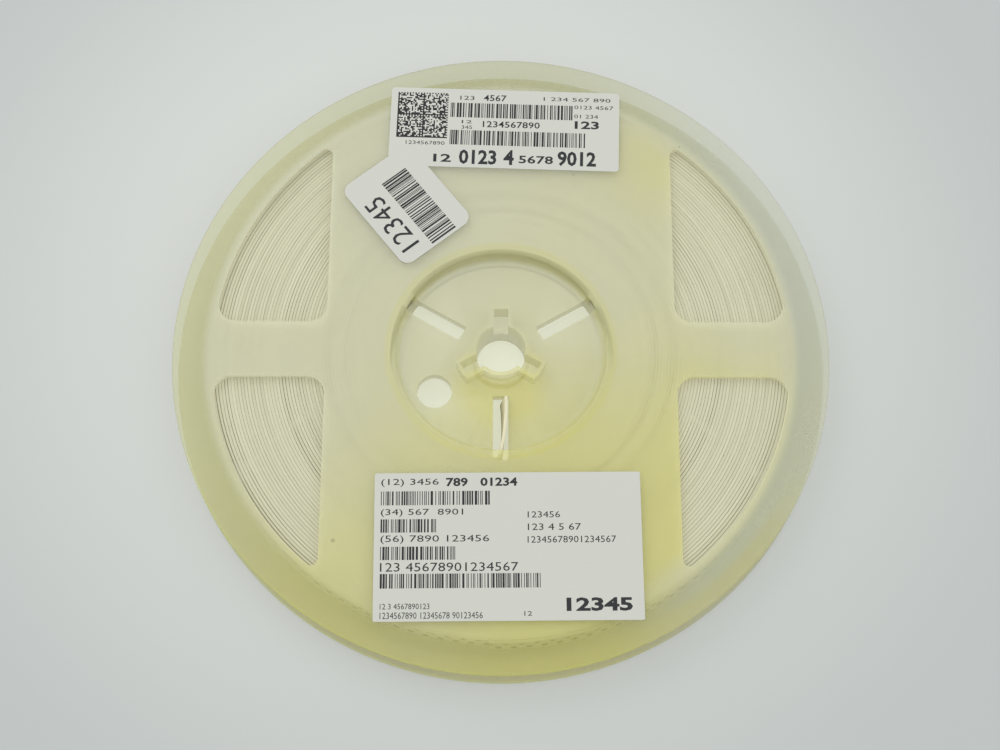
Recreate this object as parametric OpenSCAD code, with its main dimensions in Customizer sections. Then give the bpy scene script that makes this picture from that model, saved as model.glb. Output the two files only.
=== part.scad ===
// Tape reel for small surface-mounted parts: two moulded halves, the wound tape and three labels.
// The reel lies flat on its back flange, with the arbor axis on +Z and the front face up.

/* [Reel] */
// Diameter of both flanges
flange_d = 178; // [170:1:186]
// Thickness of each flange
flange_t = 1.2; // [1:0.1:1.6]
// Gap between the two flanges
inner_w = 9; // [8.6:0.1:10]
// Bevel round the flange rims
rim_bevel = 0.3; // [0.2:0.05:0.4]

/* [Hub] */
// Outer diameter of the drum that the tape is wound on
drum_d = 60; // [58:0.5:62]
// Thickness of the drum wall
drum_t = 1.5; // [1.2:0.1:1.8]
// Rounding of the lip where the flange turns down into the hub well
lip_r = 1.2; // [0.8:0.1:1.4]
// Hollow round between the drum wall and the web
well_fillet = 2.5; // [1.5:0.1:2.6]
// Thickness of the web across the hub in each half
web_t = 1.5; // [1.2:0.1:1.8]
// Width of the radial slots that the tape end is threaded into
slot_w = 4.2; // [3.5:0.1:4.6]
// Distance from the centre to the inner end of the radial slots
slot_start = 12.2; // [11.5:0.1:14]
// Depth the slots run on into the inside of the flange, clear of the tape's edge
slot_sink = 0.3; // [0.1:0.05:0.5]
// Diameter of the driving hole through the webs
drive_hole_d = 9.5; // [8:0.1:10]
// Distance from the centre to the middle of the driving hole
drive_hole_at = 21; // [19:0.1:21]

/* [Arbor] */
// Diameter of the arbor bore
bore_d = 13.2; // [12.8:0.1:13.5]
// Thickness of the collar round the bore and its keyways
collar_t = 1.1; // [0.9:0.1:1.4]
// Width of the three keyways
key_w = 4; // [3:0.1:4.2]
// Distance from the centre to the flat end of the keyways
key_tip = 11.6; // [10.5:0.1:12]
// Bevel at both mouths of the bore
bore_bevel = 0.3; // [0.2:0.05:0.4]

/* [Windows] */
// Distance from the centre to the straight inner edge of each window
window_x = 47.5; // [45:0.5:52]
// Distance from the cross line to the short straight edge of each window
window_y = 8; // [6:0.5:12]
// Distance from the flange rim to the windows' curved edge
window_margin = 10.7; // [10.2:0.1:14]
// Rounding of the two corners on the short straight edge
window_corner = 5; // [3:0.5:6]
// Rounding of the pointed corner
window_tip = 1.8; // [1.2:0.1:2.5]

/* [Tape] */
// Width of the tape
tape_w = 8; // [7.9:0.1:8.3]
// Number of turns on the drum
turns = 58; // [40:1:60]
// Distance from the flange rim to the outermost turn
tape_margin = 8.7; // [8:0.1:12]
// Depth of the groove between two turns
groove = 0.14; // [0.08:0.02:0.2]
// Gap between the drum and the first turn
drum_gap = 0.1; // [0.05:0.05:0.3]
// Thickness of the tape end that stands in the hub slot
tail_t = 0.7; // [0.5:0.05:0.9]
// Distance from the centre to the cut end of the tape
tail_end = 12.8; // [12.5:0.1:18]

/* [Labels] */
// Thickness of the label paper
label_t = 0.1; // [0.08:0.02:0.2]
// Length of the label near the top of the front face
top_label_w = 65; // [60:1:68]
// Height of the label near the top of the front face
top_label_h = 24.8; // [22:0.2:26]
// Length of the small slanted label
small_label_w = 30; // [27:0.5:31]
// Height of the small slanted label
small_label_h = 23.6; // [21:0.2:24]
// Length of the label near the bottom of the front face
bottom_label_w = 70; // [60:1:72]
// Height of the label near the bottom of the front face
bottom_label_h = 39.8; // [36:0.2:41]
// Distance from the top of the rim down to the middle of the top label
top_label_in = 22.3; // [21:0.1:26]
// Distance from the top of the rim down to the middle of the small label
small_label_in = 45.9; // [44:0.1:48]
// Distance from the bottom of the rim up to the middle of the bottom label
bottom_label_in = 34; // [32:0.1:36]
// Distance of the small label's middle to the left of the reel's middle
small_label_left = 26.4; // [25:0.1:29]

/* [Hidden] */
$fn = 96;

flange_r = flange_d / 2;
drum_r = drum_d / 2;
well_r = drum_r - drum_t;
bore_r = bore_d / 2;
collar_r = bore_r + collar_t;
reel_w = inner_w + 2 * flange_t;
half_w = reel_w / 2;
under = half_w - flange_t;
window_r = flange_r - window_margin;
tape_r = flange_r - tape_margin;
tape_in = drum_r + drum_gap;
pitch = (tape_r - tape_in) / turns;
key_angles = [90, 210, 330];
slot_angles = [30, 150, 270];
drive_hole_angle = 211;
// Extra length by which cutting shapes pass through a wall
past = 1;
// Extra radius of the windows' round corners
round_over = 0.02;
// How far the tape end stands off the slot's middle at its cut end and where it leaves the drum
tail_x = [1.5, -0.2];
tail_steps = 8;

// Sizes, places and turns of the labels on the front face
top_size = [top_label_w, top_label_h];
small_size = [small_label_w, small_label_h];
bottom_size = [bottom_label_w, bottom_label_h];
top_at = [0.9, flange_r - top_label_in];
top_turn = -1.7;
small_at = [-small_label_left, flange_r - small_label_in];
small_turn = -51.5;
small_corner = 3;
bottom_at = [2, bottom_label_in - flange_r];
bottom_turn = 0.6;
top_corner = 1;
bottom_corner = 0.5;

plastic = [0.80, 0.80, 0.60];
paper = [0.87, 0.84, 0.74];
label_white = [0.93, 0.93, 0.92];

// A point moved out along its own direction to the distance d from the centre
function pushed(p, d) = p * d / norm(p);

// Middles of the three rounded corners of a window
inner_mid = [window_x, window_y] + window_corner * [1, 1];
outer_mid = [sqrt(pow(window_r - window_corner, 2) - pow(inner_mid.y, 2)), inner_mid.y];
tip_mid_x = window_x + window_tip;
tip_mid = [tip_mid_x, sqrt(pow(window_r - window_tip, 2) - pow(tip_mid_x, 2))];

// What is cut off outside a round corner, between the two lines from its middle to its edges.
// The round is a hair larger than its named size, so that it crosses both edges cleanly.
module corner_waste(mid, r, outside) {
  difference() {
    polygon(concat([mid], outside));
    translate(mid) circle(r = r + round_over);
  }
}

// One window: a piece of a disc beside two straight edges, with rounded corners
module window_outline() {
  far = window_r + past;
  difference() {
    intersection() {
      circle(r = window_r);
      translate([window_x, window_y]) square(window_r);
    }
    corner_waste(inner_mid, window_corner,
      [[window_x - past, inner_mid.y], [window_x - past, window_y - past], [inner_mid.x, window_y - past]]);
    corner_waste(outer_mid, window_corner,
      [[outer_mid.x, window_y - past], [far, window_y - past], pushed(outer_mid, far)]);
    corner_waste(tip_mid, window_tip,
      [pushed(tip_mid, far), [window_x - past, far], [window_x - past, tip_mid.y]]);
  }
}

module windows() {
  for (side = [0, 1], end = [0, 1])
    mirror([side, 0, 0]) mirror([0, end, 0])
      translate([0, 0, under - past]) linear_extrude(flange_t + 2 * past) window_outline();
}

// Section of one half from the bore to the rim, with its joint face at height 0
module half_section() {
  difference() {
    polygon([
      [bore_r, 0],
      [drum_r, 0],
      [drum_r, under],
      [flange_r - rim_bevel, under],
      [flange_r, under + rim_bevel],
      [flange_r, half_w - rim_bevel],
      [flange_r - rim_bevel, half_w],
      [well_r, half_w],
      [well_r, web_t + well_fillet],
      [well_r - well_fillet, web_t + well_fillet],
      [well_r - well_fillet, web_t],
      [bore_r, web_t]
    ]);
    translate([well_r - well_fillet, web_t + well_fillet]) circle(r = well_fillet);
    difference() {
      translate([well_r - past, half_w - lip_r]) square([lip_r + past, lip_r + past]);
      translate([well_r + lip_r, half_w - lip_r]) circle(r = lip_r);
    }
  }
}

// Plan of the collar; with keyways it has a lobe round each of them
module collar_plan(keyed) {
  circle(r = collar_r);
  if (keyed) {
    intersection() {
      circle(r = key_tip + collar_t);
      for (angle = key_angles)
        rotate(angle) translate([0, -key_w / 2 - collar_t]) square([key_tip + 2 * collar_t, key_w + 2 * collar_t]);
    }
  }
}

// The bore and its bevelled mouth, with the keyways of a keyed half
module arbor_cut(keyed) {
  translate([0, 0, -past]) cylinder(r = bore_r, h = half_w + 2 * past);
  translate([0, 0, half_w - bore_bevel]) cylinder(r1 = bore_r, r2 = bore_r + bore_bevel + past, h = bore_bevel + past);
  if (keyed) {
    for (angle = key_angles)
      rotate(angle) translate([0, -key_w / 2, -past]) cube([key_tip, key_w, half_w + 2 * past]);
  }
}

// Radial slots through the web and the drum wall, and the driving hole
module web_cuts() {
  for (angle = slot_angles)
    rotate(angle) translate([slot_start, -slot_w / 2, -past]) cube([drum_r + past - slot_start, slot_w, under + past + slot_sink]);
  rotate(drive_hole_angle) translate([drive_hole_at, 0, -past]) cylinder(r = drive_hole_d / 2, h = web_t + 2 * past);
}

module reel_half(keyed) {
  difference() {
    union() {
      rotate_extrude() half_section();
      linear_extrude(half_w) collar_plan(keyed);
    }
    arbor_cut(keyed);
    web_cuts();
    windows();
  }
}

module front_half() {
  color(plastic) translate([0, 0, half_w]) reel_half(true);
}

module back_half() {
  color(plastic) translate([0, 0, half_w]) mirror([0, 0, 1]) reel_half(false);
}

// Section of the wound tape: a ridge for each turn on both faces
module roll_section() {
  top = flange_t + tape_w;
  upper = [for (i = [0 : 2 * turns]) [tape_in + i * pitch / 2, top - (i % 2 == 0 ? groove : 0)]];
  lower = [for (i = [2 * turns : -1 : 0]) [tape_in + i * pitch / 2, flange_t + (i % 2 == 0 ? groove : 0)]];
  polygon(concat(upper, lower));
}

// Middle line of the tape end, from its cut end (0) out into the first turn (1)
function tail_line(s) =
  let (bend = s * s * (3 - 2 * s))
  [tail_x[0] + (tail_x[1] - tail_x[0]) * bend, -tail_end - (tape_in + pitch - tail_end) * s];

module tape_tail() {
  line = [for (i = [0 : tail_steps]) tail_line(i / tail_steps)];
  right = [for (p = line) p + [tail_t / 2, 0]];
  left = [for (i = [tail_steps : -1 : 0]) line[i] - [tail_t / 2, 0]];
  translate([0, 0, flange_t + groove]) linear_extrude(tape_w - 2 * groove) polygon(concat(right, left));
}

module tape_roll() {
  color(paper) {
    rotate_extrude() roll_section();
    tape_tail();
  }
}

// Rectangle centred on the origin with rounded corners
module rounded_plate(size, r) {
  square([size.x - 2 * r, size.y], center = true);
  square([size.x, size.y - 2 * r], center = true);
  for (x = [-1, 1], y = [-1, 1])
    translate([x * (size.x / 2 - r), y * (size.y / 2 - r)]) circle(r = r);
}

module label(at, turn, size, r, t) {
  translate([at.x, at.y, reel_w]) rotate(turn) linear_extrude(t) rounded_plate(size, r);
}

module label_top() {
  color(label_white) label(top_at, top_turn, top_size, top_corner, label_t);
}

// The small label lies partly over the top one, so its underside steps over that label
module label_small() {
  color(label_white) difference() {
    label(small_at, small_turn, small_size, small_corner, 2 * label_t);
    label(top_at, top_turn, top_size, top_corner, label_t);
  }
}

module label_bottom() {
  color(label_white) label(bottom_at, bottom_turn, bottom_size, bottom_corner, label_t);
}

front_half();
back_half();
tape_roll();
label_top();
label_small();
label_bottom();
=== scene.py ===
import bpy
import math
import numpy as np
from mathutils import Matrix, Vector


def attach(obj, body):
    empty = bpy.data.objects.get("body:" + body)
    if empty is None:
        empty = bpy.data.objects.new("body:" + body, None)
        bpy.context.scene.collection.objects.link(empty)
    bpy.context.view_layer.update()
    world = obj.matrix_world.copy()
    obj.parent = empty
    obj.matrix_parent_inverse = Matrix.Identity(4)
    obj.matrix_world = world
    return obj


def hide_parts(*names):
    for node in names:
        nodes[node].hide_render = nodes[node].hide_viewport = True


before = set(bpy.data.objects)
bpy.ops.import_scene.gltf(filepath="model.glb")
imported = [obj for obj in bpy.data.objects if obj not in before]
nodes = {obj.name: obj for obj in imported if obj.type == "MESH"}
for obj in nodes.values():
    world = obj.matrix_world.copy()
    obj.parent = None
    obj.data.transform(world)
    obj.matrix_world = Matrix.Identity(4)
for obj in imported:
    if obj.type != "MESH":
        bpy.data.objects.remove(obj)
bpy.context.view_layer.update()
mm = 0.001
print("frame loaded:", ", ".join(sorted(nodes)))


cameraValues = {
    "lens": 64.915,            # mm on a 36 mm wide sensor
    "distance": 0.49822,       # from the point it looks at
    "target": (-0.0002, -0.00344, 0.0),
    "elevation": 69.78,        # degrees above the table
    "azimuth": -0.18,
    "roll": 0.32,
}

def makeCamera(v):
    el, az, roll = (math.radians(v[k]) for k in ("elevation", "azimuth", "roll"))
    away = Vector((math.sin(az) * math.cos(el), -math.cos(az) * math.cos(el), math.sin(el)))
    right = Vector((math.cos(az), math.sin(az), 0.0))
    up = right.cross(-away)
    right, up = right * math.cos(roll) + up * math.sin(roll), up * math.cos(roll) - right * math.sin(roll)
    data = bpy.data.cameras.new("camera")
    data.lens, data.sensor_width, data.clip_end = v["lens"], 36.0, 20.0
    cam = bpy.data.objects.new("camera", data)
    bpy.context.scene.collection.objects.link(cam)
    place = Matrix((right, up, away)).transposed().to_4x4()
    place.translation = Vector(v["target"]) + away * v["distance"]
    cam.matrix_world = place
    bpy.context.scene.camera = cam

makeCamera(cameraValues)
scene = bpy.context.scene
scene.view_settings.view_transform = "Standard"

lightValues = {
    "sky": (0.98, 1.0, 0.995),
    "skyStrength": 0.74,
    # place, size, watts and colour of each lamp: high at the back left, and at the right
    "softbox": [(-0.55, 0.62, 0.95), 0.9, 3.2, (0.97, 0.99, 1.0)],
    "fill": [(0.9, -0.1, 0.75), 0.8, 1.2, (1.0, 0.995, 0.98)],
}

def areaLamp(name, place, size, watts, color):
    data = bpy.data.lights.new(name, "AREA")
    data.shape, data.size, data.energy, data.color = "DISK", size, watts, color
    lamp = bpy.data.objects.new(name, data)
    scene.collection.objects.link(lamp)
    lamp.location = place
    lamp.rotation_euler = (-Vector(place)).to_track_quat("-Z", "Y").to_euler()

def makeLight(v):
    world = bpy.data.worlds.new("studio")
    scene.world = world
    world.use_nodes = True
    back = world.node_tree.nodes["Background"]
    back.inputs["Color"].default_value = (*v["sky"], 1)
    back.inputs["Strength"].default_value = v["skyStrength"]
    areaLamp("softbox", *v["softbox"])
    areaLamp("fill", *v["fill"])

makeLight(lightValues)
print("camera and light made")


def meshObject(name, verts, faces, material, smoothAngle=None):
    mesh = bpy.data.meshes.new(name)
    verts, faces = np.asarray(verts, np.float32), np.asarray(faces, np.int32)
    perFace = faces.shape[1]
    mesh.vertices.add(len(verts))
    mesh.vertices.foreach_set("co", verts.ravel())
    mesh.loops.add(faces.size)
    mesh.loops.foreach_set("vertex_index", faces.ravel())
    mesh.polygons.add(len(faces))
    mesh.polygons.foreach_set("loop_start", np.arange(len(faces), dtype=np.int32) * perFace)
    mesh.update(calc_edges=True)
    mesh.validate()
    if smoothAngle is not None:
        mesh.polygons.foreach_set("use_smooth", np.ones(len(faces), bool))
        mesh.set_sharp_from_angle(angle=math.radians(smoothAngle))
    mesh.materials.append(material)
    piece = bpy.data.objects.new(name, mesh)
    scene.collection.objects.link(piece)
    return piece


def srgb(r, g, b):
    c = np.array([r, g, b]) / 255.0
    c = np.where(c <= 0.04045, c / 12.92, ((c + 0.055) / 1.055) ** 2.4)
    return (float(c[0]), float(c[1]), float(c[2]), 1.0)

# Short ways to add and wire the nodes of one node tree
class Tree:
    def __init__(self, tree):
        self.tree = tree

    def add(self, kind, **settings):
        node = self.tree.nodes.new(kind)
        for key, value in settings.items():
            if key.startswith("in_"):
                key = key[3:]
                socket = node.inputs[int(key)] if key.isdigit() else node.inputs[key.replace("_", " ")]
                self.feed(socket, value)
            else:
                setattr(node, key, value)
        return node

    def feed(self, socket, value):
        if isinstance(value, bpy.types.NodeSocket):
            self.tree.links.new(value, socket)
        else:
            socket.default_value = value

    def math(self, operation, a, b=0.0):
        node = self.add("ShaderNodeMath", operation=operation)
        self.feed(node.inputs[0], a)
        self.feed(node.inputs[1], b)
        return node.outputs[0]

    # eases from outLow at low to outHigh at high
    def ramp(self, value, low, high, outLow=0.0, outHigh=1.0):
        node = self.add("ShaderNodeMapRange", interpolation_type="SMOOTHSTEP")
        for socket, v in zip(node.inputs[:5], (value, low, high, outLow, outHigh)):
            self.feed(socket, v)
        return node.outputs[0]

    def mix(self, factor, a, b, blend="MIX"):
        node = self.add("ShaderNodeMix", data_type="RGBA", blend_type=blend)
        for socket, v in zip((node.inputs[0], node.inputs[6], node.inputs[7]), (factor, a, b)):
            self.feed(socket, v)
        return node.outputs[2]

    def noise(self, vector, scale, detail):
        node = self.add("ShaderNodeTexNoise", in_Vector=vector, in_Scale=scale, in_Detail=detail)
        return node.outputs["Fac"]

    # 1 inside a ball of that radius, fading out to 0 over the outer share named soft
    def spot(self, vector, centre, radius, soft=0.5):
        gap = self.add("ShaderNodeVectorMath", operation="DISTANCE", in_0=vector, in_1=centre)
        return self.ramp(gap.outputs["Value"], radius, radius * (1 - soft))

def newGroup(name, inputs, outputs):
    group = bpy.data.node_groups.new(name, "ShaderNodeTree")
    for label, kind, value in inputs:
        socket = group.interface.new_socket(label, in_out="INPUT", socket_type=kind)
        if value is not None:
            socket.default_value = value
    for label, kind in outputs:
        group.interface.new_socket(label, in_out="OUTPUT", socket_type=kind)
    tree = Tree(group)
    return group, tree, tree.add("NodeGroupInput").outputs, tree.add("NodeGroupOutput").inputs

def newMaterial(name, **shader):
    material = bpy.data.materials.new(name)
    material.use_nodes = True
    tree = Tree(material.node_tree)
    principled = material.node_tree.nodes["Principled BSDF"]
    for label, value in shader.items():
        principled.inputs[label.replace("_", " ")].default_value = value
    return material, tree, principled

# Fine mottling and dust: low noise shifts the colour a little, and sharp rare noise peaks darken as specks
def makeMottle():
    group, t, i, o = newGroup("mottle", [
        ("Color", "NodeSocketColor", (0.8, 0.8, 0.8, 1)), ("Vector", "NodeSocketVector", None),
        ("Cloud Scale", "NodeSocketFloat", 30.0), ("Cloud", "NodeSocketFloat", 0.05),
        ("Grain Scale", "NodeSocketFloat", 1500.0), ("Grain", "NodeSocketFloat", 0.03),
        ("Speck Scale", "NodeSocketFloat", 400.0), ("Speck", "NodeSocketFloat", 0.3)],
        [("Color", "NodeSocketColor"), ("Height", "NodeSocketFloat")])
    cloud = t.noise(i["Vector"], i["Cloud Scale"], 3.0)
    grain = t.noise(i["Vector"], i["Grain Scale"], 2.0)
    shift = t.math("ADD", t.math("MULTIPLY", t.math("SUBTRACT", cloud, 0.5), i["Cloud"]),
                   t.math("MULTIPLY", t.math("SUBTRACT", grain, 0.5), i["Grain"]))
    gain = t.math("ADD", shift, 1.0)
    speck = t.ramp(t.noise(i["Vector"], i["Speck Scale"], 1.0), 0.79, 0.83)
    gain = t.math("MULTIPLY", gain, t.math("SUBTRACT", 1.0, t.math("MULTIPLY", speck, i["Speck"])))
    both = t.add("ShaderNodeCombineXYZ", in_X=gain, in_Y=gain, in_Z=gain)
    t.feed(o["Color"], t.mix(1.0, i["Color"], both.outputs[0], "MULTIPLY"))
    t.feed(o["Height"], grain)
    return group

mottle = makeMottle()

# amounts: scale and share of the clouds, then of the grain, then of the specks
def useMottle(t, color, vector, amounts):
    node = t.add("ShaderNodeGroup", node_tree=mottle)
    for socket, value in zip(node.inputs, (color, vector, *amounts)):
        t.feed(socket, value)
    return node.outputs

# mottled color, and the grain again as fine relief with a strength and a height in metres
def finish(t, principled, color, place, amounts, relief):
    out = useMottle(t, color, place, amounts)
    t.feed(principled.inputs["Base Color"], out["Color"])
    strength, height = relief
    bump = t.add("ShaderNodeBump", in_Strength=strength, in_Distance=height, in_Height=out["Height"])
    t.feed(principled.inputs["Normal"], bump.outputs[0])


plasticValues = {
    "pale": srgb(241, 240, 213),      # upper left
    "yellow": srgb(242, 237, 150),    # lower right
    "rim": (0.67, 0.67, 0.46, 1),     # painted shade on the edge beyond the tape, with nothing behind it, top and bottom: the shaded gap seen through the flange
    # painted shade of the rim at the left, and at the right greyer where the floor shows through
    "rimLeft": (0.79, 0.79, 0.56, 1),
    "rimRight": (0.76, 0.79, 0.84, 1),
    "rimOuter": (0.76, 0.75, 0.56, 1),    # painted light on the outer half of it, low down, where the back flange shows bright through it
    "edge": (0.86, 0.90, 0.50, 1),        # painted highlight on the edge itself, seen through its thickness
    "hub": (0.99, 0.98, 0.92, 1),
    "seeThroughGrey": 0.7,                     # how far the outer band at the right is painted grey, for the floor seen through the plastic there
    "wall": (1.10, 1.09, 0.84, 1),    # painted light on the round wall of the well, lifting its shade
    "lip": (1.01, 1.00, 0.80, 1),     # and painted shade on the rounded lip above it
    "thick": (1.03, 1.01, 0.70, 1),   # painted yellow under the bore, for light through the thick plastic there
    "spotDark": 0.75,
    "rough": 0.35,
    "alpha": 0.35,
    "mottle": (45.0, 0.05, 1400.0, 0.03, 260.0, 0.25),
    "relief": (0.12, 0.0001),
    "yellowAcross": 2.6,                 # shift to yellow a metre to the right and a metre down
    "yellowDown": 6.2,
    "yellowRange": (-0.35, 0.62),
    "cloudScale": 14.0,
    "cloudShare": 0.9,
    # where each tint starts and where it is full: by radius, or along X, Y or Z
    "seeThroughGreyFade": (72 * mm, 78 * mm),
    "seeThroughGreySide": (25 * mm, 55 * mm),
    "hubFade": (27 * mm, 24 * mm),
    "rimFade": (78.4 * mm, 81.8 * mm),
    "rimSide": (10 * mm, 75 * mm),
    "outerLitFade": (83 * mm, 86 * mm),
    "outerLitLow": (-30 * mm, -60 * mm),
    "edgeFade": (88.3 * mm, 88.8 * mm),
    "edgeLow": (-15 * mm, -50 * mm),
    "edgeSide": (60 * mm, 10 * mm),
    "wallInner": (27.0 * mm, 28.8 * mm),
    "wallOuter": (32.2 * mm, 30.8 * mm),
    "lipFade": (9.2 * mm, 10.8 * mm),
    "thickLightPlace": (0.0, -0.009, 0.006),
    "thickLightRadius": 0.0155,
    "spotTint": srgb(120, 116, 84),
    # place, radius and amount of more or less yellow, then place and radius of a rubbed spot and three specks
    "clouds": [((0.046, 0.060, 0.011), 0.030, 0.30), ((0.068, 0.006, 0.011), 0.026, -0.30)],
    "spots": [((0.0003, 0.0822, 0.0050), 0.0021), ((0.0503, 0.0612, 0.0114), 0.0004),
              ((-0.0437, -0.0537, 0.0114), 0.0007), ((-0.0888, -0.0052, 0.0098), 0.0005)],
}

def makePlastic(v):
    material, t, principled = newMaterial("reelPlastic", IOR=1.49, Roughness=v["rough"],
                                          Specular_IOR_Level=0.45, Alpha=v["alpha"])
    place = t.add("ShaderNodeTexCoord").outputs["Object"]
    axis = t.add("ShaderNodeSeparateXYZ", in_Vector=place).outputs
    # yellow share = how far down and to the right, plus slow clouds
    slope = t.math("SUBTRACT", t.math("MULTIPLY", axis["X"], v["yellowAcross"]),
                   t.math("MULTIPLY", axis["Y"], v["yellowDown"]))
    clouds = t.math("SUBTRACT", t.noise(place, v["cloudScale"], 2.0), 0.5)
    clouds = t.math("MULTIPLY", clouds, v["cloudShare"])
    for centre, size, amount in v["clouds"]:
        clouds = t.math("ADD", clouds, t.math("MULTIPLY", t.spot(place, centre, size, 0.9), amount))
    yellowShare = t.ramp(t.math("ADD", slope, clouds), *v["yellowRange"])
    radius = t.math("SQRT", t.math("ADD", t.math("MULTIPLY", axis["X"], axis["X"]),
                                   t.math("MULTIPLY", axis["Y"], axis["Y"])))
    # painted grey on the outer band at the right, where the floor shows through: the yellow share is cut
    # there
    seeThroughGrey = t.math("MULTIPLY", t.ramp(radius, *v["seeThroughGreyFade"]), t.ramp(axis["X"], *v["seeThroughGreySide"]))
    yellowShare = t.math("MULTIPLY", yellowShare, t.math("SUBTRACT", 1.0, t.math("MULTIPLY", seeThroughGrey, v["seeThroughGrey"])))
    color = t.mix(yellowShare, v["pale"], v["yellow"])
    color = t.mix(t.ramp(radius, *v["hubFade"]), color, v["hub"], "MULTIPLY")
    # painted shade on the rim beyond the tape, where the shaded gap shows through: lighter at the left,
    # greyer at the right
    near, far = v["rimSide"]
    rim = t.mix(t.ramp(axis["X"], near, far), v["rim"], v["rimRight"])
    rim = t.mix(t.ramp(axis["X"], -near, -far), rim, v["rimLeft"])
    # painted light on the outer half of the rim, low down
    outerLitMask = t.math("MULTIPLY", t.ramp(radius, *v["outerLitFade"]), t.ramp(axis["Y"], *v["outerLitLow"]))
    rim = t.mix(outerLitMask, rim, v["rimOuter"])
    # painted highlight along the edge, low down and not at the right
    low = t.math("MULTIPLY", t.ramp(axis["Y"], *v["edgeLow"]), t.ramp(axis["X"], *v["edgeSide"]))
    low = t.math("MULTIPLY", low, t.ramp(radius, *v["edgeFade"]))
    rim = t.mix(low, rim, v["edge"])
    color = t.mix(t.ramp(radius, *v["rimFade"]), color, rim, "MULTIPLY")
    # painted light on the well's wall to lift its shade, and painted shade on the lip above it
    wellLightShadeMask = t.math("MULTIPLY", t.ramp(radius, *v["wallInner"]), t.ramp(radius, *v["wallOuter"]))
    wellLightShadeColor = t.mix(t.ramp(axis["Z"], *v["lipFade"]), v["wall"], v["lip"])
    color = t.mix(wellLightShadeMask, color, wellLightShadeColor, "MULTIPLY")
    # painted yellow under the bore, for light through the thick plastic
    thick = t.spot(place, v["thickLightPlace"], v["thickLightRadius"], 0.5)
    color = t.mix(thick, color, v["thick"], "MULTIPLY")
    for centre, size in v["spots"]:
        mark = t.math("MULTIPLY", t.spot(place, centre, size, 0.6), v["spotDark"])
        color = t.mix(mark, color, v["spotTint"])
    finish(t, principled, color, place, v["mottle"], v["relief"])
    return material

reelPlastic = makePlastic(plasticValues)
for name in ("front_half", "back_half"):
    nodes[name].data.materials[0] = reelPlastic
print("reel plastic placed")


tapeValues = {
    "paper": srgb(223, 220, 191),
    "shade": srgb(178, 172, 140),     # dust and shade at the cut edges
    "tailLitTint": srgb(240, 233, 200),  # the loose end painted lighter and yellower, a painted light against the shade in its slot, near the plastic's colour
    "tailLength": 17 * mm,
    "mottle": (60.0, 0.10, 2600.0, 0.12, 900.0, 0.2),
    "relief": (0.3, 0.00008),
    "toneScale": 9.0,                 # tones along the tape, and how much shade they bring
    "toneRange": (0.35, 0.7, 0.0, 0.30),
    "holeTint": srgb(140, 132, 108),
    "pocketTint": srgb(96, 93, 88),
    "width": 7.84 * mm,
    "thick": 0.83 * mm,
    "bevel": 0.055 * mm,
    "bottom": 1.2 * mm,
    "top": 9.2 * mm,
    "lastRadius": 79.88 * mm,
    "turns": 57,
    "seed": 5,
    "looseRare": 8,                   # the higher, the fewer turns lie loose
    "looseMost": 0.26,                # the most that a loose turn is thinner by
    "stepsPerTurn": 144,
    "waves": [(41, 1.0), (17.3, 2.2), (6.1, 0)],     # radians a metre, and at the cut end
    "waveShare": 0.9,                 # of the room between the flanges
    "tail": [(1.5, -12.8), (-0.2, -29.55)],          # mm, cut end and where it leaves the drum
    "tailSteps": 28,
    "tailEase": 2.2,
    "leanEase": 1.2,
    "bendSteps": 9,
    "bendRadius": 0.95 * mm,
    "tailLean": 1.3 * mm,
    "holePitch": 4 * mm,
    "holeRise": 6.1 * mm,             # hole line and pocket middles, from the lower edge
    "pocketRise": 2.6 * mm,
    "holeEdge": (0.82 * mm, 0.72 * mm),              # outer and inner side of each soft edge
    "pocketEdge": (0.80 * mm, 0.72 * mm),
    "pocketEnd": (1.25 * mm, 1.15 * mm),
    "holeDark": 0.75,
    "pocketDark": 0.6,
}

# Middle line of the tape from its cut end: x eases over by a power of the way along the tail, a quarter
# circle turns it into the roll, then radius grows evenly with angle, clockwise seen from the front.
# lean is how far the lower edge stands to the left, and it fades out along the tail
def tapeLine(v):
    (x0, y0), (x1, y1) = v["tail"]
    s = np.linspace(0, 1, v["tailSteps"], endpoint=False)
    ease = s ** v["tailEase"]
    tail = np.stack([x0 + (x1 - x0) * ease, y0 + (y1 - y0) * s], 1) * mm
    r = v["bendRadius"]
    phi = np.linspace(0, -np.pi / 2, v["bendSteps"], endpoint=False)
    bend = np.stack([x1 * mm - r + r * np.cos(phi), y1 * mm + r * np.sin(phi)], 1)
    startAngle = math.atan2(y1 * mm - r, x1 * mm - r)
    startRadius = math.hypot(y1 * mm - r, x1 * mm - r)
    turned = np.linspace(0, 2 * np.pi * v["turns"], v["turns"] * v["stepsPerTurn"] + 1)
    radius = startRadius + (v["lastRadius"] - startRadius) * turned / turned[-1]
    angle = startAngle - turned
    roll = np.stack([radius * np.cos(angle), radius * np.sin(angle)], 1)
    lean = np.zeros(len(tail) + len(bend) + len(roll))
    lean[:len(tail)] = v["tailLean"] * (1 - s) ** v["leanEase"]
    return np.concatenate([tail, bend, roll]), lean

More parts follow.
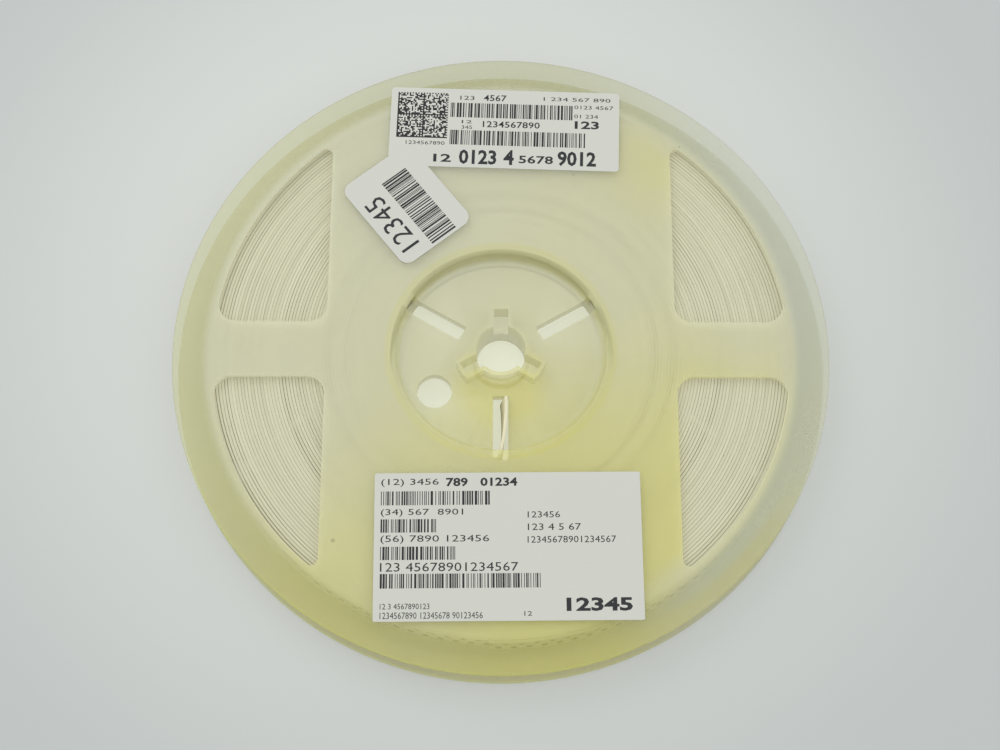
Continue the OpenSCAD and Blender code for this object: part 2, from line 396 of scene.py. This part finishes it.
def makeTape(v, material):
    line, lean = tapeLine(v)
    steps = np.linalg.norm(np.diff(line, axis=0), axis=1)
    length = np.concatenate([[0], np.cumsum(steps)])
    along = np.gradient(line, axis=0)
    along /= np.linalg.norm(along, axis=1, keepdims=True)
    outward = np.stack([-along[:, 1], along[:, 0]], 1)     # left of the way it runs: outward in the roll
    # edge height: three slow waves with unrelated lengths, so that no two turns stand alike
    wave = sum(np.sin(length * pace + start) for pace, start in v["waves"]) / len(v["waves"])
    room = (v["top"] - v["bottom"] - v["width"]) / 2
    middle = (v["top"] + v["bottom"]) / 2 + wave * room * v["waveShare"]
    h, b, w = v["thick"] / 2, v["bevel"], v["width"] / 2
    section = np.array([(-h + b, -w), (h - b, -w), (h, -w + b), (h, w - b), (h - b, w), (-h + b, w),
                        (-h, w - b), (-h, -w + b)])
    count, sides = len(line), len(section)
    # a few turns lie looser than the rest: the tape is drawn thinner there, so the gap beside it is wider
    loose = np.random.default_rng(v["seed"]).random(v["turns"] + 2) ** v["looseRare"]
    thin = 1 - v["looseMost"] * np.interp(length / length[-1] * v["turns"], np.arange(v["turns"] + 2), loose)
    xy = line[:, None, :] + outward[:, None, :] * section[None, :, 0, None] * thin[:, None, None]
    xy[..., 0] -= lean[:, None] * (w - section[None, :, 1]) / (2 * w)
    z = middle[:, None] + section[None, :, 1]
    verts = np.concatenate([xy, z[..., None]], 2).reshape(-1, 3)
    i, k = np.meshgrid(np.arange(count - 1), np.arange(sides), indexing="ij")
    nextK = (k + 1) % sides
    here, ahead = i * sides, (i + 1) * sides
    quads = np.stack([here + nextK, ahead + nextK, ahead + k, here + k], -1).reshape(-1, 4)
    fan = np.array([(0, 1, 2, 3), (0, 3, 4, 7), (4, 5, 6, 7)])
    ends = np.concatenate([fan[:, ::-1], (count - 1) * sides + fan])
    piece = meshObject("woundTape", verts, np.concatenate([quads, ends]), material, 40)
    # strip map: U runs along the tape in metres, V is the height on the tape plus the number of its face
    uLoop = np.stack([length[i], length[i + 1], length[i + 1], length[i]], -1).reshape(-1)
    lo, hi = section[k, 1] + w, section[nextK, 1] + w
    vLoop = np.stack([hi + k, hi + k, lo + k, lo + k], -1).reshape(-1)
    uv = np.stack([uLoop, vLoop], 1)
    endUv = np.tile(np.array([[0.0, 9.0]]), (len(ends) * 4, 1))
    layer = piece.data.uv_layers.new(name="strip")
    layer.data.foreach_set("uv", np.concatenate([uv, endUv]).astype(np.float32).ravel())
    return piece

def makeTapePaper(v):
    material, t, principled = newMaterial("tapePaper", Roughness=0.8, Specular_IOR_Level=0.3)
    place = t.add("ShaderNodeTexCoord").outputs["Object"]
    stripMap = t.add("ShaderNodeUVMap", uv_map="strip").outputs[0]
    strip = t.add("ShaderNodeSeparateXYZ", in_Vector=stripMap).outputs
    face = t.math("FLOOR", strip["Y"])
    height = t.math("FRACT", strip["Y"])
    outerFace = t.math("COMPARE", face, 2.0)
    outerFace.node.inputs[2].default_value = 0.1
    # feed holes every 4 mm near one edge, and pockets halfway between them
    pitch = v["holePitch"]
    side = t.math("SUBTRACT", t.math("MODULO", strip["X"], pitch), pitch / 2)
    up = t.math("SUBTRACT", height, v["holeRise"])
    gap = t.math("SQRT", t.math("ADD", t.math("MULTIPLY", side, side), t.math("MULTIPLY", up, up)))
    hole = t.ramp(gap, *v["holeEdge"])
    shifted = t.math("MODULO", t.math("ADD", strip["X"], pitch / 2), pitch)
    across = t.math("ABSOLUTE", t.math("SUBTRACT", shifted, pitch / 2))
    rise = t.math("ABSOLUTE", t.math("SUBTRACT", height, v["pocketRise"]))
    pocket = t.math("MULTIPLY", t.ramp(across, *v["pocketEdge"]), t.ramp(rise, *v["pocketEnd"]))
    # every turn takes its own tone from its place along the tape
    tone = t.noise(t.add("ShaderNodeCombineXYZ", in_X=strip["X"]).outputs[0], v["toneScale"], 3.0)
    color = t.mix(t.ramp(tone, *v["toneRange"]), v["paper"], v["shade"])
    # the loose end painted lighter and yellower: painted light against the shade in the slot
    color = t.mix(t.ramp(strip["X"], v["tailLength"], v["tailLength"] - 2 * mm), color, v["tailLitTint"])
    hole = t.math("MULTIPLY", t.math("MULTIPLY", outerFace, hole), v["holeDark"])
    color = t.mix(hole, color, v["holeTint"])
    pocket = t.math("MULTIPLY", t.math("MULTIPLY", outerFace, pocket), v["pocketDark"])
    color = t.mix(pocket, color, v["pocketTint"])
    finish(t, principled, color, place, v["mottle"], v["relief"])
    return material

tapePaper = makeTapePaper(tapeValues)
woundTape = makeTape(tapeValues, tapePaper)
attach(woundTape, "root")
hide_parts("tape_roll")
print("wound tape made:", len(woundTape.data.polygons), "faces")


labelValues = {
    # color, roughness, shine, mottle and relief
    "paper": (srgb(216, 216, 207), 0.55, 0.35, (35.0, 0.03, 3000.0, 0.03, 700.0, 0.12), (0.12, 0.00004)),
    "ink": (srgb(52, 52, 54), 0.6, 0.3, (120.0, 0.25, 4000.0, 0.3, 900.0, 0.0), (0.1, 0.00002)),
}
inkDepth = 0.012    # mm
barModule = 0.19    # mm, the narrowest bar
barPace = 3.3       # modules to a bar and its gap, about
rowFill = 0.985     # a hair less than the whole row of a block code, so that no two cells share an edge

def makeMatt(name, color, rough, shine, amounts, relief):
    material, t, principled = newMaterial(name, Roughness=rough, Specular_IOR_Level=shine)
    place = t.add("ShaderNodeTexCoord").outputs["Object"]
    finish(t, principled, color, place, amounts, relief)
    return material

labelPaper = makeMatt("labelPaper", *labelValues["paper"])
printInk = makeMatt("printInk", *labelValues["ink"])
for name in ("label_top", "label_small", "label_bottom"):
    nodes[name].data.materials[0] = labelPaper

# Flat print in millimetres on a label: boxes for bars and modules, and digits from text made a mesh
class Print:
    def __init__(self, seed):
        self.verts, self.tris, self.count = [], [], 0
        self.rng = np.random.default_rng(seed)

    def put(self, verts, tris):
        self.verts.append(np.asarray(verts, float))
        self.tris.append(np.asarray(tris, int) + self.count)
        self.count += len(verts)

    # closed boxes from their left, bottom, right and top, all at once
    def boxes(self, rects):
        r = np.asarray(rects, float)
        x, y = r[:, [0, 2, 2, 0]], r[:, [1, 1, 3, 3]]
        low = np.stack([x, y, np.zeros_like(x)], -1)
        high = np.stack([x, y, np.full_like(x, inkDepth)], -1)
        verts = np.concatenate([low, high], 1).reshape(-1, 3)
        one = np.array([(0, 2, 1), (0, 3, 2), (4, 5, 6), (4, 6, 7), (0, 1, 5), (0, 5, 4),
                        (1, 2, 6), (1, 6, 5), (2, 3, 7), (2, 7, 6), (3, 0, 4), (3, 4, 7)])
        tris = (one[None] + (np.arange(len(r)) * 8)[:, None, None]).reshape(-1, 3)
        self.put(verts, tris)

    # bars and gaps with chance widths of 1 to 3 modules, scaled to fill the space
    def bars(self, left, bottom, right, top):
        n = max(8, int((right - left) / barModule / barPace))
        widths = self.rng.choice([1, 1, 1, 2, 2, 3], 2 * n - 1).astype(float)
        edges = np.concatenate([[0], np.cumsum(widths)])
        edges = left + edges / edges[-1] * (right - left)
        rects = [(a, bottom, b, top) for a, b in zip(edges[0::2], edges[1::2])]
        self.boxes(rects)

    # a plain block code: solid left and bottom edges and middle lines round chance modules
    def blocks(self, left, bottom, size, cells):
        grid = self.rng.random((cells, cells)) < 0.5
        half = cells // 2
        for a in (0, half):
            grid[:, a] = True
            grid[a, :] = True
            grid[:, a + half - 1] = np.arange(cells) % 2 == 0
            grid[a + half - 1, :] = np.arange(cells) % 2 == 0
        step = size / cells
        padded = np.pad(grid, ((0, 0), (1, 1))).astype(int)
        rects = []
        for row in range(cells):
            change = np.diff(padded[row])
            for a, b in zip(np.flatnonzero(change == 1), np.flatnonzero(change == -1)):
                top = bottom + (row + rowFill) * step
                rects.append((left + a * step, bottom + row * step, left + b * step, top))
        self.boxes(rects)

    # plain digits: the text is set, made a mesh, then scaled into its box
    def digits(self, words, left, bottom, right, top, bold=0.0):
        curve = bpy.data.curves.new("digits", "FONT")
        curve.body, curve.size, curve.extrude, curve.offset, curve.resolution_u = words, 1.0, 0.01, bold, 2
        piece = bpy.data.objects.new("digits", curve)
        scene.collection.objects.link(piece)
        bpy.context.view_layer.update()
        ready = piece.evaluated_get(bpy.context.evaluated_depsgraph_get())
        mesh = bpy.data.meshes.new_from_object(ready)
        mesh.calc_loop_triangles()
        co = np.zeros(len(mesh.vertices) * 3, np.float32)
        mesh.vertices.foreach_get("co", co)
        co = co.reshape(-1, 3).astype(float)
        tris = np.zeros(len(mesh.loop_triangles) * 3, np.int32)
        mesh.loop_triangles.foreach_get("vertices", tris)
        bpy.data.objects.remove(piece)
        bpy.data.curves.remove(curve)
        bpy.data.meshes.remove(mesh)
        low, high = co.min(0), co.max(0)
        share = (co - low) / (high - low)
        verts = np.stack([left + share[:, 0] * (right - left), bottom + share[:, 1] * (top - bottom),
                          share[:, 2] * inkDepth], 1)
        self.put(verts, tris.reshape(-1, 3))

    # lay the print on its label: turn and move it, just proud of the paper
    def lay(self, name, at, turn, z):
        verts, tris = np.concatenate(self.verts), np.concatenate(self.tris)
        a = math.radians(turn)
        x = at[0] + verts[:, 0] * math.cos(a) - verts[:, 1] * math.sin(a)
        y = at[1] + verts[:, 0] * math.sin(a) + verts[:, 1] * math.cos(a)
        piece = meshObject(name, np.stack([x, y, z + verts[:, 2]], 1) * mm, tris, printInk)
        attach(piece, "root")
        print(name, "has", len(tris), "triangles")

# each label's place and turn, in mm and degrees, and its print in mm from its middle:
# left, bottom, right, top of each row of bars or digits, and how bold the digits are
topPrint = {
    "seed": 11, "at": (0.9, 66.7), "turn": -1.7, "z": 11.5,
    "blocks": [(-30.6, -3.45, 14.4, 36)],     # left, bottom, size, cells along a side
    "bars": [(-15.5, 3.4, 19.2, 8.0), (-15.4, -5.3, 22.9, -0.7)],
    "digits": [
        ("1234567890", -27.8, -5.6, -16.8, -4.45, 0), ("123", -12.9, 8.97, -8.84, 10.3, 0),
        ("4567", -6.2, 8.8, 0.3, 10.8, 0.012), ("1 234 567 890", 10.9, 9.4, 30.0, 10.6, 0),
        ("0123 4567", 19.7, 7.0, 30.8, 8.2, 0), ("01 234", 19.7, 4.1, 26.5, 5.3, 0),
        ("12", -12.2, 1.5, -9.3, 2.5, 0), ("345", -12.2, -0.3, -9.2, 0.8, 0),
        ("1234567890", -6.2, 0.4, 10.0, 2.4, 0.012), ("123", 19.9, 0.7, 26.8, 3.2, 0.03),
        ("12", -19.8, -10.9, -14.8, -8.4, 0.025), ("0123", -12.6, -11.4, -2.0, -6.8, 0.03),
        ("4", 0.0, -11.3, 2.9, -6.6, 0.03), ("5678", 4.3, -10.7, 14.0, -8.2, 0.02),
        ("9012", 15.2, -11.2, 26.1, -6.5, 0.03)],
}
smallPrint = {
    "seed": 7, "at": (-26.4, 43.1), "turn": 128.5, "z": 11.6,
    "blocks": [],
    "bars": [(-14.1, -6.5, 9.15, 1.75)],
    "digits": [("12345", -11.4, 4.1, 6.9, 9.9, 0)],
}
bottomPrint = {
    "seed": 23, "at": (2.0, -55.0), "turn": 0.6, "z": 11.5,
    "blocks": [],
    "bars": [(-33.3, 11.1, -4.7, 14.9), (-33.3, 3.7, -18.8, 7.3), (-33.3, -3.65, -13.8, -0.1),
             (-33.3, -11.2, 8.3, -7.35)],
    "digits": [
        ("(12) 3456", -33.3, 16.1, -18.1, 18.35, 0), ("789   01234", -16.2, 16.15, 2.6, 18.55, 0.03),
        ("(34) 567  8901", -33.3, 7.9, -11.7, 10.1, 0), ("(56) 7890 123456", -33.3, 0.6, -4.9, 2.95, 0),
        ("123 45678901234567", -33.3, -6.75, 2.6, -4.4, 0),
        ("12 3 4567890123", -33.2, -16.7, -20.4, -15.2, 0),
        ("1234567890 12345678 90123456", -33.2, -19.2, -6.7, -17.5, 0), ("12", 4.0, -18.6, 6.0, -17.4, 0),
        ("123456", 5.2, 7.5, 13.7, 9.2, 0), ("123 4 5 67", 5.2, 4.1, 19.1, 5.9, 0),
        ("12345678901234567", 5.1, 0.7, 28.2, 2.5, 0), ("12345", 14.9, -17.5, 32.0, -13.9, 0.035)],
}

def printLabel(name, v):
    sheet = Print(v["seed"])
    for row in v["blocks"]:
        sheet.blocks(*row)
    for row in v["bars"]:
        sheet.bars(*row)
    for row in v["digits"]:
        sheet.digits(*row)
    sheet.lay(name, v["at"], v["turn"], v["z"])

for name, values in (("printTop", topPrint), ("printSmall", smallPrint), ("printBottom", bottomPrint)):
    printLabel(name, values)
print("labels printed")


floorValues = {
    "side": 1.6,                          # half the floor's width
    "drop": 0.02 * mm,                    # a hair below the reel
    "color": srgb(168, 172, 170),
    "mottle": (6.0, 0.02, 900.0, 0.01, 100.0, 0.0),
    "near": (0.315, 0.315, 0.295, 1),     # glow beside the reel, for the camera alone
    "far": (0.172, 0.180, 0.182, 1),
    "middle": (-0.012, 0.022, 0.0),
    "reach": 0.178,
    "under": (0.54, 0.545, 0.415, 1),     # under its middle, where light comes through the plastic
    "underReach": 0.075,
}

def makeFloor(v):
    x, y = np.array([-1, 1, 1, -1]) * v["side"], np.array([-1, -1, 1, 1]) * v["side"]
    verts = np.stack([x, y, np.full(4, -v["drop"])], 1)
    material, t, principled = newMaterial("tableTop", Roughness=0.9, Specular_IOR_Level=0.2)
    place = t.add("ShaderNodeTexCoord").outputs["Object"]
    t.feed(principled.inputs["Base Color"], useMottle(t, v["color"], place, v["mottle"])["Color"])
    # glow that only camera, mirror and see-through rays meet, so it lights nothing
    wide = t.mix(t.spot(place, v["middle"], v["reach"], 0.6), v["far"], v["near"])
    glowColor = t.mix(t.spot(place, (0.0, 0.0, 0.0), v["underReach"], 0.5), wide, v["under"])
    path = t.add("ShaderNodeLightPath").outputs
    mirrored = t.math("MAXIMUM", path["Is Glossy Ray"], path["Is Transmission Ray"])
    seen = t.math("MAXIMUM", path["Is Camera Ray"], mirrored)
    glow = t.add("ShaderNodeEmission", in_Color=glowColor, in_Strength=seen)
    both = t.add("ShaderNodeAddShader", in_0=principled.outputs[0], in_1=glow.outputs[0])
    output = next(n for n in material.node_tree.nodes if n.type == "OUTPUT_MATERIAL")
    t.feed(output.inputs["Surface"], both.outputs[0])
    floor = meshObject("tableTop", verts, [(0, 1, 2, 3)], material)

makeFloor(floorValues)
print("floor made")
